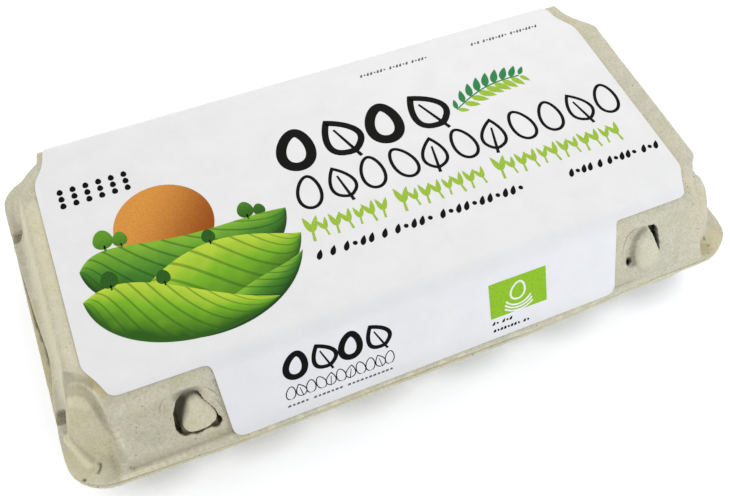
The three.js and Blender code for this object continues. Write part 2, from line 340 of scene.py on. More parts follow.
def newMaterial(name):
    # an empty material, and addNode for it
    material = bpy.data.materials.new(name)
    material.use_nodes = True
    material.node_tree.nodes.clear()
    return material, partial(addNode, material)


def finishPiece(piece, slot, material, *nodes):
    piece.data.materials.clear()
    piece.data.materials.append(material)
    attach(piece, "root")
    if nodes:
        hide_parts(*nodes)


# camera, floor and light

cameraSet = {"place": (-94.92, -211.96, 367.77), "turn": (32.671, -1.234, -22.479), "lens": 43.44}

camera = bpy.data.objects.new("camera", bpy.data.cameras.new("camera"))
scene.collection.objects.link(camera)
camera.location = Vector(cameraSet["place"]) * mm
camera.rotation_euler = [math.radians(a) for a in cameraSet["turn"]]
camera.data.lens = cameraSet["lens"]
camera.data.sensor_width = 36
camera.data.clip_start, camera.data.clip_end = 0.01, 20
scene.camera = camera

stageSet = {"floorSize": 6.0, "floorTone": "f4f6fb", "worldTone": "fcfcff", "worldStrength": 0.8,
            "floorGlow": 0.28, "shadeGlow": 0.0, "shadeReach": 18, "shadeFrom": 0.5, "shadeTo": 0.86}

floor = addPrimitive("floor", bpy.ops.mesh.primitive_plane_add, size=stageSet["floorSize"])
# matt opal sheet that glows faintly, as if lit from below, except right beside what stands on it: there an
# occlusion node dims the glow into a painted contact shadow
floorPaint, add = newMaterial("opalSheetPaintedContactShadow")
near = add("AmbientOcclusion", {"samples": 16, "Distance": stageSet["shadeReach"] * mm})
glow = add("MapRange", {"From Min": stageSet["shadeFrom"], "From Max": stageSet["shadeTo"],
                        "To Min": stageSet["shadeGlow"], "To Max": stageSet["floorGlow"]},
           {"Value": near.outputs["AO"]})
shader = add("BsdfPrincipled", {"Base Color": linear(stageSet["floorTone"]), "Roughness": 0.9,
                                "Specular IOR Level": 0.1, "Emission Color": (1, 1, 1, 1)},
             {"Emission Strength": glow})
add("OutputMaterial", links={"Surface": shader})
floor.data.materials.append(floorPaint)

world = bpy.data.worlds.new("studio")
world.use_nodes = True
background = world.node_tree.nodes["Background"]
background.inputs["Color"].default_value = linear(stageSet["worldTone"])
background.inputs["Strength"].default_value = stageSet["worldStrength"]
scene.world = world
scene.view_settings.view_transform = "Standard"

# name: place, aim, size, watts, tone
lamps = {
    "keyBack": ((300, 560, 640), (0, 0, 40), 500, 2.5, "fffcf6"),
    "fillFront": ((420, -460, 300), (90, -40, 40), 360, 1.2, "eaf2ff"),
    "sideLeft": ((-620, 60, 380), (-100, 0, 40), 400, 0.62, "fffaf0"),
}
for name, (place, aim, size, watts, tone) in lamps.items():
    lamp = bpy.data.objects.new(name, bpy.data.lights.new(name, "AREA"))
    scene.collection.objects.link(lamp)
    lamp.location = Vector(place) * mm
    lamp.rotation_euler = (Vector(aim) - Vector(place)).to_track_quat("-Z", "Y").to_euler()
    lamp.data.size = size * mm
    lamp.data.energy = watts
    lamp.data.color = linear(tone)[:3]
print("camera, floor and lamps placed")


# moulded pulp

pulpSet = {
    # colour, size in mm, detail, roughness, distortion, and the noise's range: broad clouds of
    # drier pulp, pale mottling, the darker grain of the wire side, and yellow stains where
    # scraps of brown paper went in
    "layers": (("cool", 40, 3, 0.55, 0, 0.36, 0.66), ("pale", 6, 5, 0.6, 0, 0.34, 0.66),
               ("shade", 1.1, 4, 0.65, 0, 0.38, 0.7), ("stain", 17, 4, 0.7, 0.6, 0.6, 0.74)),
    # the fine tooth in mm, how closely the fibres lie and how strongly they show
    "tooth": 0.45, "fibreCells": 0.55, "fibreDeep": 0.7,
}


def pulpMaterial(name, look):
    # moulded paper pulp: felted fibres dried on a wire mould, so quite matt, cloudy in tone,
    # with short dark fibres, pale flecks and a fine pimpled grain
    material, add = newMaterial(name)
    place = add("TexCoord")
    at = add("Mapping", {"Scale": [1 / mm] * 3}, {"Vector": place.outputs["Object"]})

    # layers of tone, each noise's share of a colour over the last
    noises, base = {}, {}
    for key, size, detail, rough, twist, low, high in pulpSet["layers"]:
        noises[key] = add("TexNoise", {"Scale": 1 / size, "Detail": detail, "Roughness": rough,
                                       "Distortion": twist}, {"Vector": at})
        share = add("MapRange", {"From Min": low, "From Max": high, "To Max": look["shares"][key]},
                    {"Value": noises[key]})
        tone = add("Mix", {"data_type": "RGBA", 6: linear(look["warm"]), 7: linear(look[key])},
                   {0: share, **base})
        base = {6: tone}

    # short fibres and specks: cells drawn out in two directions and round ones in two sizes,
    # a few of each dark; the smallest are 0.3 mm, the fibres 1.5 mm
    fibres = None
    for turn, cell, share, radius in look["marks"]:
        lay = add("Mapping", {"Rotation": (turn, 0.7 * turn, turn), "Scale": cell}, {"Vector": at})
        cells = add("TexVoronoi", {"Scale": pulpSet["fibreCells"], "Randomness": 1.0}, {"Vector": lay})
        mark = add("MapRange", {"From Min": radius, "From Max": 1.5 * radius, "To Min": 1.0, "To Max": 0.0},
                   {"Value": cells.outputs["Distance"]})
        pickOut = add("SeparateColor", links={0: cells.outputs["Color"]})
        chosen = add("Math", {"operation": "LESS_THAN", 1: share}, {0: pickOut})
        mark = add("Math", {"operation": "MULTIPLY"}, {0: mark, 1: chosen})
        fibres = add("Math", {"operation": "MAXIMUM"}, {0: fibres, 1: mark}) if fibres else mark
    fibreShare = add("Math", {"operation": "MULTIPLY", 1: pulpSet["fibreDeep"]}, {0: fibres})
    tone = add("Mix", {"data_type": "RGBA", 7: linear(look["fibre"])}, {0: fibreShare, 6: tone})

    # painted masks: yellow stains, painted highlights, and painted shade with a little real grime in hollows,
    # gaps and torn edges; an occlusion node adds painted shade in creases
    for mask in ("stain", "rubbed"):
        painted = add("Attribute", {"attribute_name": mask})
        tone = add("Mix", {"data_type": "RGBA", 7: linear(look[mask])}, {0: painted, 6: tone})
    crease = add("AmbientOcclusion", {"samples": 8, "only_local": True, "Distance": look["creaseReach"] * mm})
    creaseShade = add("MapRange", {"From Min": 0.3, "From Max": 0.95, "To Min": look["creaseDeep"], "To Max": 0.0},
               {"Value": crease.outputs["AO"]})
    grime = add("Attribute", {"attribute_name": "grime"})
    darkening = add("Math", {"operation": "MAXIMUM"}, {0: creaseShade, 1: grime})
    tone = add("Mix", {"data_type": "RGBA", 7: linear(look["grime"])}, {0: darkening, 6: tone})

    # height: the grain, a finer tooth and the mottling
    tooth = add("TexNoise", {"Scale": 1 / pulpSet["tooth"], "Detail": 3, "Roughness": 0.6}, {"Vector": at})
    grainHigh = add("Math", {"operation": "MULTIPLY", 1: 0.5}, {0: noises["shade"]})
    toothHigh = add("Math", {"operation": "MULTIPLY_ADD", 1: 0.18}, {0: tooth, 2: grainHigh})
    allHigh = add("Math", {"operation": "MULTIPLY_ADD", 1: 0.6}, {0: noises["pale"], 2: toothHigh})
    bump = add("Bump", {"Strength": 0.8, "Distance": look["relief"] * mm}, {"Height": allHigh})
    shader = add("BsdfPrincipled", {"Roughness": 0.93, "Specular IOR Level": 0.25, "IOR": 1.45},
                 {"Base Color": tone, "Normal": bump})
    add("OutputMaterial", links={"Surface": shader})
    return material


# fibres and specks: turn, the cells' scale, the share that is dark, and radius
fibreMarks = ((0.3, (0.3, 1.1, 1.1), 0.1, 0.06), (1.2, (1.1, 0.35, 1.0), 0.1, 0.06),
              (2.3, (1.6, 1.6, 1.6), 0.17, 0.15), (0.8, (0.9, 0.9, 0.9), 0.05, 0.15))
# the pulp's tones: after the stain's come the pale of the painted highlights, the fibres' tone, and the dark
# of the painted shade, which also serves a little real grime
lidLook = {"warm": "c6c0a0", "cool": "bfbdaa", "pale": "d3cfbc", "shade": "a39f88", "stain": "c0ae6c",
           "rubbed": "e9e3c2", "fibre": "5f5a45", "grime": "38342a", "relief": 0.7,
           "shares": {"cool": 1, "pale": 0.62, "shade": 0.54, "stain": 0.4},
           "creaseReach": 4, "creaseDeep": 0.4, "marks": fibreMarks}
trayLook = {**lidLook, "warm": "cbc6a6", "cool": "c7c3aa", "pale": "d9d4bd", "shade": "a9a58b"}
lidPulp = pulpMaterial("greyPulpWireMoulded", lidLook)
trayPulp = pulpMaterial("yellowPulpWireMoulded", trayLook)


# lid

lidSet = {
    "voxel": 0.84, "smoothing": 1, "triangles": 192000, "plainBehind": 10,
    "unevenSize": 9, "uneven": 0.3, "lumpSize": 2.4, "lump": 0.24, "middle": 0.62,
    # under the label and inside: side, from and to in z, middle in x, half lengths in x and y
    "hidden": ((1, 66, 70, wallSet["labelShift"], 123.8, 46), (-1, 30, 32.6, 0, 122, 48)),
    # added to or carved out of the front wall: outline, from and to outwards, and how
    "wallWork": (("leftPlug", -2.2, -0.04, "UNION"), ("rightPlug", -3.4, -0.04, "UNION"),
                 ("leftRecess", -0.7, 9, "DIFFERENCE"), ("rightRecess", -0.3, 9, "DIFFERENCE"),
                 ("rightGroove", -1.7, 5, "DIFFERENCE")),
    # torn through it: outline, how far its edge strays, seed; the edge's step, from and to
    "torn": (("leftWindow", 0.17, 3), ("rightSlot", 0.14, 5), ("rightHole", 0.06, 8)),
    "tornStep": 0.7, "tornDeep": (-5.2, 6),
    # these outlines: x and the way down from the wall's top corner
    "leftPlug": ((-110, 7.5), (-88.5, 7.5), (-88.5, 34.5), (-110, 34.5)),
    "rightPlug": ((90.5, 6), (113.5, 6), (113.5, 36), (90.5, 36)),
    "leftRecess": ((-127.6, 9.5), (-124.5, 7), (-84, 7.6), (-84, 35.6), (-130, 35.6)),
    "rightRecess": ((120, 8.6), (84, 8.2), (84, 35), (119, 35)),
    "leftWindow": (
        (-95.8, 10.6), (-98.2, 9.4), (-100.5, 9.2), (-102.7, 10.1), (-104.5, 11.8), (-106.1, 14.7),
        (-107.2, 17.3), (-107.8, 20.7), (-108.2, 23.7), (-108.1, 26.1), (-107.5, 28.2),
        (-106.3, 30.1), (-104.6, 30.3), (-103.1, 30.3), (-101.6, 31.4), (-99.5, 31.3),
        (-97.3, 30.5), (-95.3, 30.4), (-93.5, 31.5), (-92, 31.2), (-90.3, 29.2), (-90.3, 27.2),
        (-91.2, 25.6), (-91.5, 23.4), (-92.4, 20.2), (-93.7, 17.6), (-94.6, 15.5), (-95.2, 12.9)),
    "rightSlot": (
        (103.2, 8.6), (106.2, 8.9), (107.7, 10.1), (108.6, 12.7), (109, 16), (109.5, 18.7),
        (110, 22.1), (109.9, 24.2), (108.8, 21.6), (107.4, 18.5), (106.5, 15.5), (105.1, 12.4),
        (103.7, 9.9)),
    "rightHole": ((93.6, 24), (95, 23.9), (95.6, 25.3), (95, 26.6), (93.8, 26.2)),
    "rightGroove": (
        (102.4, 8.6), (99, 8.1), (96.6, 9), (94.6, 11.2), (93.5, 14), (92.9, 17.4), (92.6, 20.9),
        (93.1, 24.5), (94.6, 27.4), (96.6, 28.6), (97.6, 26.6), (96.7, 23.6), (96.7, 19),
        (97.6, 15.4), (99.4, 12.2), (101.6, 10.6), (103, 10.2)),
    "rightKnob": (
        (102, 10.8), (104.2, 12.4), (106, 15.8), (107.8, 19.6), (109, 24.4), (109.2, 28.6),
        (107.6, 32), (103.6, 33), (100, 30.4), (98, 27), (97, 23.6), (97.4, 18.9), (99, 14)),
    "knobDeep": (-1.5, -0.4), "knobSteps": ((0.7, 0.97), (0.6, 0.9), (0.4, 0.78), (0.2, 0.6)),
    "knobMiddle": 21, "knobTilt": -3.4,
    # cracks as bars half sunk in the wall: their depth, radius and line
    "wallCracks": (
        (-0.7, 0.4, ((-107.8, 8.6), (-109.6, 9.8), (-110.9, 11.8), (-111.6, 14.2), (-111.9, 16.8))),
        (-0.7, 0.34, ((-108.6, 11.4), (-109.4, 12.8), (-110, 14.6), (-110.3, 16.6), (-110.5, 18.6))),
        (-0.7, 0.34, ((-93.6, 9.8), (-92, 11), (-91, 12.8), (-89.9, 14.2), (-89.2, 16.4))),
        (-0.7, 0.3, ((-90.9, 17), (-90, 18.6), (-89.4, 20.6), (-88.9, 22.4), (-88.8, 24.4))),
        (-0.3, 0.36, ((100.6, 7.2), (97, 7.6), (94, 9.6), (92, 13), (91.1, 17), (90.8, 21), (91.2, 25))),
        (-0.8, 0.36, ((101.6, 9.4), (98.6, 10.2), (96.2, 12.8), (95, 16.4), (94.7, 20), (94.9, 23.4))),
    ),
    # the valley round the corner's dome and the dent above it, in x, y and z, and how round
    "crease": (
        (145.2, -45, 44), (144.6, -45.2, 49), (141.7, -48, 56.4), (137.6, -51.2, 61.2),
        (134.9, -53.8, 62), (133.2, -57.2, 61.4), (132.2, -61, 59.8), (131.7, -64.4, 57.4),
        (131.5, -67.6, 53.8), (131, -71, 50.4), (130.4, -73.4, 46), (130.2, -76, 41)),
    "dent": (
        (144.4, -43.4, 52), (142.6, -44, 57.6), (140.4, -45.8, 62.4), (138, -48, 64.6),
        (135.2, -50.8, 65.6), (133, -53.6, 66)),
    "creaseRound": 1.9, "dentRound": 2.9,
    # the ramp at the front left corner, how much it rises near the dome and at its foot, and
    # the curled ridge there: its middle, ring, thickness and where it is cut off
    "ramp": ((-149.5, -53.5), (-150.4, -57), (-143, -70.6), (-140.5, -69)), "rampRise": (2.1, 1),
    "curl": (-142.8, -71, 34.4), "curlRing": 2.6, "curlThick": 0.7, "curlCorner": (-142.6, -70, 34.3),
}

lid = meshOfNode("lid", "lid.pulp")
for key, low, high, operation in lidSet["wallWork"]:
    cut(lid, placed(plate(key, upWall(lidSet[key]), low, high), onWall()), operation)
knob = pillow("rightKnob", upWall(lidSet["rightKnob"]), *lidSet["knobDeep"], lidSet["knobSteps"])
# its foot stands out a little further than its top
middle = Matrix.Translation((0, -lidSet["knobMiddle"] * mm, 0))
placed(knob, middle @ Matrix.Rotation(math.radians(lidSet["knobTilt"]), 4, "X") @ middle.inverted())
cut(lid, placed(knob, onWall()), "UNION")

# a low ramp from the corner's dome down over the rim, and a curled ridge at its foot
ramp = plate("ramp", lidSet["ramp"], 33, 34.1)
for vertex in ramp.data.vertices:
    if vertex.co.z > 34 * mm:
        vertex.co.z += lidSet["rampRise"][0 if vertex.co.y > -60 * mm else 1] * mm
cut(lid, ramp, "UNION")
curl = addPrimitive("curl", bpy.ops.mesh.primitive_torus_add, major_segments=40, minor_segments=10,
                    major_radius=lidSet["curlRing"] * mm, minor_radius=lidSet["curlThick"] * mm,
                    location=[c * mm for c in lidSet["curl"]])
for away in ((-1, 0.25, 0), (-0.2, 1, 0)):
    # only the quarter facing the latch stays
    editAll(curl)
    bpy.ops.mesh.bisect(plane_co=[c * mm for c in lidSet["curlCorner"]], plane_no=away, use_fill=True,
                        clear_outer=True)
    bpy.ops.object.mode_set(mode="OBJECT")
cut(lid, curl, "UNION")
# the valley round each front corner's dome, and the dent where the clipped corner starts
# above it; both are finer on the right
for side, size in ((-1, 1), (1, 0.7)):
    for key in ("crease", "dent"):
        cut(lid, bar(key, [(side * x, y, z) for x, y, z in lidSet[key]], lidSet[key + "Round"] * size))

modify(lid, "REMESH", mode="VOXEL", voxel_size=lidSet["voxel"] * mm)
modify(lid, "SMOOTH", factor=0.5, iterations=lidSet["smoothing"])
roughen(lid, lidSet)
# the windows are torn out of the finished wall
cutters = []
for key, stray, seed in lidSet["torn"]:
    outline = ragged(upWall(lidSet[key]), lidSet["tornStep"], stray, seed)
    cutters.append(placed(plate(key, outline, *lidSet["tornDeep"]), onWall()))


def roundCurl(reach, z, angles):
    x, y, _ = lidSet["curl"]
    return [(x + px, y + py, z) for px, py in arcLine(reach, angles)]


# fine cracks: beside the curl, on the rim, and where the wall was pressed round the windows
cracks = [bar("curlCrack", roundCurl(3.55, 34.35, range(28, -63, -15)), 0.34),
          bar("rimCrack", [(-147.5 + 0.4 * i, -74.9 + 0.09 * i, 33.6) for i in range(5)], 0.45)]
for out, radius, line in lidSet["wallCracks"]:
    cracks.append(bar("wallCrack", [wallSpot(x, down, out) for x, down in line], radius))
cut(lid, joined("windows", cutters + cracks), solver="MANIFOLD")
for stretch in lidSet["hidden"]:
    oneFace(lid, *stretch)
thinOut(lid, lidSet["triangles"], lambda place: place.y > lidSet["plainBehind"] * mm)

# painted shade, with a little real grime: in the rim's four notches, in the gap along the left end where lid
# and tray meet, in the torn edges and what is behind them, and fainter in the valley, the dent, the groove
# and round the ramp and the curl; besides these, specks and a scratch on the rim, and the left recess and the
# right rim corner slightly darker
notches = [((sx * 149.5, sy * 46, 33.6), (3.6, 3.2, 2.8), 0.58) for sx in (-1, 1) for sy in (-1, 1)]
seamLine = ((-151.8, 37.5), (-152, 27.6), (-151.8, 19.2), (-151.4, 12), (-151.2, 4.1), (-150.4, -2.6),
            (-150.1, -9.3), (-149.6, -15.4), (-149.1, -21), (-148.9, -27.9), (-148.8, -35.1))
seam = [((x + 1, y, 31.5), (0.9, 4.6, 1.1), 0.76) for x, y in seamLine]
seam += [((x + 1, y - 3.6, 31.5), (0.9, 4.2, 1.1), 0.7) for x, y in seamLine[:-1]]
pockets = [(wallSpot(-100, down, -5.4), (10.5, 5.2, 8.5), 0.97) for down in (13, 27)]
pockets += [(wallSpot(x, down, -2.6), (2.6, 2.6, 3), 0.97)
            for x, down in ((105.6, 10), (107, 13), (108.2, 16.4), (109.2, 20), (94.6, 25.2))]
pockets += [(wallSpot(x, down, -2.5), (1.9, 1.7, 1.9), 0.9)
            for x, down in lidSet["leftWindow"] if x < -96 or down > 24]
recess = [(wallSpot(-112, 20, 0), (15, 11, 12), 0.1)]
flange = [((141, -71, 33.5), (11, 11, 3), 0.1), ((139.6, -69.6, 34.6), (1.2, 1.2, 1.5), 0.6),
          ((139.2, -73.4, 34), (0.9, 0.9, 1.5), 0.6), ((-146.7, -74.7, 33.6), (1.3, 0.8, 0.9), 0.7)]
curlShade = spotsAlong(roundCurl(3.4, 34.3, (20, -20, -58)), 0.8, 0.5)
valley, hollow = ([(-x, y, z) for x, y, z in lidSet[key]] for key in ("crease", "dent"))
rampFoot = [(-147, -57.6, 37.2), (-145.2, -61.2, 36.4), (-143.4, -64.8, 35.6), (-141.8, -68.2, 35)]
grooveFoot = ((102.4, 10.4), (99.6, 11.8), (97.3, 15), (96.4, 19), (96.4, 23), (97.2, 26.6))
groove = [wallSpot(x, down, -1) for x, down in grooveFoot]
shades = spotsAlong(groove, 1.5, 0.34) + spotsAlong(valley, 2.6, 0.2)
shades += spotsAlong(hollow, 3.2, 0.26) + spotsAlong(rampFoot, 1.8, 0.26)
paintSpots(lid, "grime", notches + seam + pockets + recess + flange + curlShade + shades)
paintSpots(lid, "stain", [
    ((-130.6, -52.6, 66), (2.2, 2.8, 2.5), 0.5), ((-129.2, -55.6, 66), (2.4, 3, 2.5), 0.55),
    ((-127.6, -58.6, 66), (2, 2.4, 2.5), 0.45), ((-139, -60, 50), (12, 18, 20), 0.12),
    ((-148, -68, 34), (8, 9, 4), 0.16), ((142, -72, 34), (8, 8, 3), 0.3)])
# painted highlights, lighter where light falls: the dome's crown, the edge beside its valley, the plate's
# left edge, the ramp, the rim, the left end, the right knob and the right rim corner
crown = spotsAlong([(-141.5, -51, 57), (-138.6, -53.4, 60), (-136.4, -56.4, 60.6)], 4.2, 0.32)
ridge = spotsAlong([(-135.2, -51, 63.4), (-131.4, -55.6, 62.8), (-129.8, -60, 60.8), (-129.2, -65, 56.6),
                    (-129, -69.4, 51.6), (-128.8, -72.6, 46)], 1.5, 0.4)
plateEdge = spotsAlong([(-134.6, y, 66.4) for y in range(-46, 35, 6)], 4.6, 0.28)
rampTop = spotsAlong([(-149, -57, 36.4), (-147.4, -61.4, 36), (-145.6, -65.6, 35.2), (-143.8, -69.4, 35)],
                     2.2, 0.66)
rimEdge = spotsAlong([(x, -78.6, 33.4) for x in range(-132, -84, 6)], 2.2, 0.35)
rimEdge += [((x, -80.6, 33), (2.4, 2, 1.6), 0.2 + 0.1 * (x % 3))
            for x in (-81, -73, -61, -52, -46, -33, -21, -13, 2, 11, 24, 37, 42, 58, 67, 76, 88)]
rimEdge.append(((-146, -70, 34), (12, 12, 5), 0.3))
endWall = [((-141, y, 52), (9, 9, 17), 0.26) for y in range(-36, 41, 8)]
endWall += [((-146.5, y, 42), (6, 9, 8), 0.24) for y in range(-36, 41, 8)]
knobFace = [(wallSpot(103.5, 23, -0.5), (6.5, 6, 11), 0.22), ((143, -70, 34), (6, 7, 3), 0.3)]
paintSpots(lid, "rubbed", knobFace + crown + ridge + plateEdge + rampTop + rimEdge + endWall)
smoothShade(lid, 60)
finishPiece(lid, "lid_pulp", lidPulp, "lid")
print("lid:", trianglesOf(lid), "triangles")


# tray

traySet = {
    "voxel": 0.8, "smoothing": 4, "triangles": 170000, "plainUnder": 27,
    "unevenSize": 9, "uneven": 0.25, "lumpSize": 2.2, "lump": 0.2, "middle": 0.62,
    # the flat top inside: side, from and to in z, middle in x, half lengths in x and y
    "hidden": (1, 30.8, 32, 0, 140, 58),
    "leftKnob": (
        (-97, 12.3), (-95.6, 14.5), (-94.6, 16.6), (-93.3, 19.3), (-92.1, 22.5), (-91.6, 25.5),
        (-92.6, 27.7), (-95, 29.2), (-97.1, 29.8), (-100, 30), (-102.3, 29.6), (-104.1, 29),
        (-105.2, 26.8), (-105.5, 25.1), (-104.9, 22.1), (-103.7, 18.4), (-102.5, 15.9),
        (-100.9, 13.5), (-99, 12.4)),
    "knobDeep": (-5, -1.2), "knobSteps": ((0.7, 0.97), (0.6, 0.9), (0.5, 0.78), (0.3, 0.6)),
    "rightClear": ((90, 4), (114, 4), (114, 38), (90, 38)), "clearDeep": (-4.1, 8),
}

tray = meshOfNode("tray", "tray.pulp")
# the left knob fills its window; the right one stays behind the lid's wall
knob = pillow("leftKnob", upWall(traySet["leftKnob"]), *traySet["knobDeep"], traySet["knobSteps"])
cut(tray, placed(knob, onWall()), "UNION")
cut(tray, placed(plate("clear", upWall(traySet["rightClear"]), *traySet["clearDeep"]), onWall()))
modify(tray, "REMESH", mode="VOXEL", voxel_size=traySet["voxel"] * mm)
modify(tray, "SMOOTH", factor=0.5, iterations=traySet["smoothing"])
oneFace(tray, *traySet["hidden"])
thinOut(tray, traySet["triangles"], lambda place: place.z < traySet["plainUnder"] * mm)
roughen(tray, traySet)
# painted shade on the knobs' flanks behind the windows, in the rim's four notches and in the gap between lid
# and tray along the left end
tongues = [(wallSpot(x, 20, -6), (12, 7, 13), strength) for x, strength in ((-108, 0.84), (102, 0.93))]
trayNotches = [((sx * 150, sy * 46, 31.4), (3.4, 2.8, 1.8), 0.46) for sx in (-1, 1) for sy in (-1, 1)]
paintSpots(tray, "grime", trayNotches + seam + tongues)
paintSpots(tray, "stain", [((-153, -20, 30), (5, 40, 5), 0.14)])
smoothShade(tray, 60)
finishPiece(tray, "tray_pulp", trayPulp, "tray")
print("tray:", trianglesOf(tray), "triangles")


# label

labelSet = {
    "topZ": 68.0, "thick": 0.35, "off": 0.65, "sheetX": 150, "round": 8, "foldSteps": 18,
    "flareZ": 34.1, "flareOut": 3, "flareTall": 7,
    "wallSteps": (1, 0.8, 0.64, 0.5, 0.38, 0.28, 0.2, 0.13, 0.07, 0),
    # corners of the outline: x, y, length rounded off before and after
    "corners": (
        (121.3, 78.2, 3, 5), (-121.3, 78.2, 5, 3), (-122.8, 62.4, 4, 4), (-124.8, 52.5, 4, 3),
        (-130.2, 43.4, 3, 5), (-130.6, -47, 3, 2), (-126.1, -54.9, 3, 3), (-123.4, -61.5, 2.6, 3.6),
        (-85.8, -61.8, 3.6, 3), (-85.1, -80.7, 3.2, 5.5), (88.9, -79.5, 5.5, 3), (89.7, -62.1, 2.4, 2.6),
        (124.2, -61.9, 3, 2), (126.1, -56.6, 3, 3), (130.8, -48, 2.5, 3), (130.5, 43.4, 5, 3),
        (124.8, 52.5, 3, 4), (122.8, 62.4, 4, 4),
    ),
}


def bezier(points, steps):
    # points on the smooth curve that these points pull, both ends included
    found = []
    for i in range(steps + 1):
        line, t = [Vector(p) for p in points], i / steps
        while len(line) > 1:
            line = [a.lerp(b, t) for a, b in zip(line, line[1:])]
        found.append(tuple(line[0]))
    return found


def labelOutline():
    # seen from above: straight ends, clipped corners, the front flap between its two notches
    line, corners = [], labelSet["corners"]
    for i, (x, y, before, after) in enumerate(corners):
        here = Vector((x, y))
        last, following = Vector(corners[i - 1][:2]), Vector(corners[(i + 1) % len(corners)][:2])
        start = here + (last - here).normalized() * before
        finish = here + (following - here).normalized() * after
        line += bezier((start, here, finish), 6)
    return [(px + wallSet["labelShift"], py) for px, py in line]


def wallPoint(t, off):
    # y and z on the front or back skin, off mm out from the lid; t is 0 at the rim and 1
    # where the wall's fillet ends
    s, lean = labelSet, math.tan(wallSet["lean"])
    z = s["flareZ"] + t * s["flareTall"]
    left = max(0, 1 - t)
    slope = lean + 3 * s["flareOut"] * left ** 2 / s["flareTall"]
    y = wallSet["cornerY"] + (wallSet["plateZ"] - z) * lean + s["flareOut"] * left ** 3
    share = off / math.hypot(1, slope)
    return y + share, z + share * slope


foldR = labelSet["round"] + labelSet["off"]
foldTurn = math.pi / 2 - wallSet["lean"]
foldY = wallSet["cornerY"] - labelSet["round"] * math.tan(foldTurn / 2)    # where the flat top ends
foldZ = labelSet["topZ"] - foldR

label = addPrimitive("label.paper", bpy.ops.mesh.primitive_plane_add, size=1,
                     location=(0, 0, labelSet["topZ"] * mm))
for vertex in label.data.vertices:
    vertex.co.x *= 2 * labelSet["sheetX"] * mm
    vertex.co.y *= 2 * foldY * mm
for side in (-1, 1):
    # the fold, then the flap down the wall and out over its fillet
    editEdges(label, lambda a, b: a.y * side > foldY - 0.1 and b.y * side > foldY - 0.1)
    bpy.ops.mesh.spin(steps=labelSet["foldSteps"], angle=side * foldTurn, axis=(1, 0, 0),
                      center=(0, side * foldY * mm, foldZ * mm))
    atY, atZ = foldY + foldR * math.sin(foldTurn), foldZ + foldR * math.cos(foldTurn)
    for t in labelSet["wallSteps"]:
        y, z = wallPoint(t, labelSet["off"])
        extrudeBy(0, side * (y - atY), z - atZ)
        atY, atZ = y, z
    bpy.ops.object.mode_set(mode="OBJECT")
editAll(label)
closeShell(0.001)
upward = max(label.data.polygons, key=lambda face: face.area)
if upward.normal.z < 0:
    label.data.flip_normals()
modify(label, "SOLIDIFY", thickness=labelSet["thick"] * mm, offset=-1)
cut(label, plate("labelKnife", labelOutline(), 0, 120), "INTERSECT")
smoothShade(label, 30)


# sizes of the sheet's cockles, tooth, relief and mottle in mm; the mottle's range and the sheen
sheetSet = {"cockle": 28, "tooth": 0.8, "toothShare": 0.02, "relief": 0.6}
paperLook = {"mottle": 14, "detail": 5, "fine": 0.7, "least": 0.96, "most": 1.02, "sheen": 0.35}


def sheetBump(add, at):
    # glued over pulp the paper cockles slightly, over a fine tooth
    cockle = add("TexNoise", {"Scale": 1 / sheetSet["cockle"], "Detail": 2, "Roughness": 0.4}, {"Vector": at})
    tooth = add("TexNoise", {"Scale": 1 / sheetSet["tooth"], "Detail": 3, "Roughness": 0.5}, {"Vector": at})
    high = add("Math", {"operation": "MULTIPLY_ADD", 1: sheetSet["toothShare"]}, {0: tooth, 2: cockle})
    return add("Bump", {"Strength": 0.6, "Distance": sheetSet["relief"] * mm}, {"Height": high})


def sheetMaterial(name, look, tone, second=None, span=None):
    # coated label paper, calendered, so smooth with a faint sheen and the slightest mottle; or
    # offset ink on it, with a fine halftone mottle and hardly any sheen. The tone is even, or
    # changes to a second one along the span
    material, add = newMaterial(name)
    place = add("TexCoord")
    at = add("Mapping", {"Scale": [1 / mm] * 3}, {"Vector": place.outputs["Object"]})
    mottle = add("TexNoise", {"Scale": 1 / look["mottle"], "Detail": look["detail"],
                              "Roughness": look["fine"]}, {"Vector": at})
    share = add("MapRange", {"From Min": 0.3, "From Max": 0.7, "To Min": look["least"],
                             "To Max": look["most"]}, {"Value": mottle})
    if second:
        start, way = Vector(span[0]), Vector(span[1]) - Vector(span[0])
        first = start.dot(way.normalized())
        along = add("VectorMath", {"operation": "DOT_PRODUCT", 1: (*way.normalized(), 0)}, {0: at})
        turn = add("MapRange", {"From Min": first, "From Max": first + way.length,
                                "interpolation_type": "SMOOTHSTEP"}, {"Value": along.outputs["Value"]})
        tones = add("Mix", {"data_type": "RGBA", 6: linear(tone), 7: linear(second)}, {0: turn})
        colour = add("VectorMath", {"operation": "SCALE"}, {0: tones, "Scale": share})
    else:
        colour = add("VectorMath", {"operation": "SCALE", 0: linear(tone)[:3]}, {"Scale": share})
    shader = add("BsdfPrincipled", {"Roughness": 0.5, "Specular IOR Level": look["sheen"], "IOR": 1.5},
                 {"Base Color": colour, "Normal": sheetBump(add, at)})
    add("OutputMaterial", links={"Surface": shader})
    return material


coatedPaper = sheetMaterial("whitePaperCoated", paperLook, "dfdfde")
finishPiece(label, "label_paper", coatedPaper, "label")
print("label:", trianglesOf(label), "triangles")


# print on the label

# the ink's thickness and how far it sinks in; each further layer, and a mark that crosses
# another, stands a little above the last
printSet = {"thick": 0.06, "sunk": 0.02, "layer": 0.012, "crossing": 0.006}


def inkMark(name, outline, stroke=0):
    # a flat shape, or with a stroke only its border, raised by the ink's thickness
    piece = flatShape(name, outline, -printSet["sunk"])
    editFaces(piece, lambda at, normal: True)
    if stroke:
        bpy.ops.mesh.inset(thickness=stroke * mm)
        bpy.ops.mesh.delete(type="FACE")
        bpy.ops.mesh.select_all(action="SELECT")
    extrudeBy(0, 0, printSet["thick"])
    closeShell()
    return piece


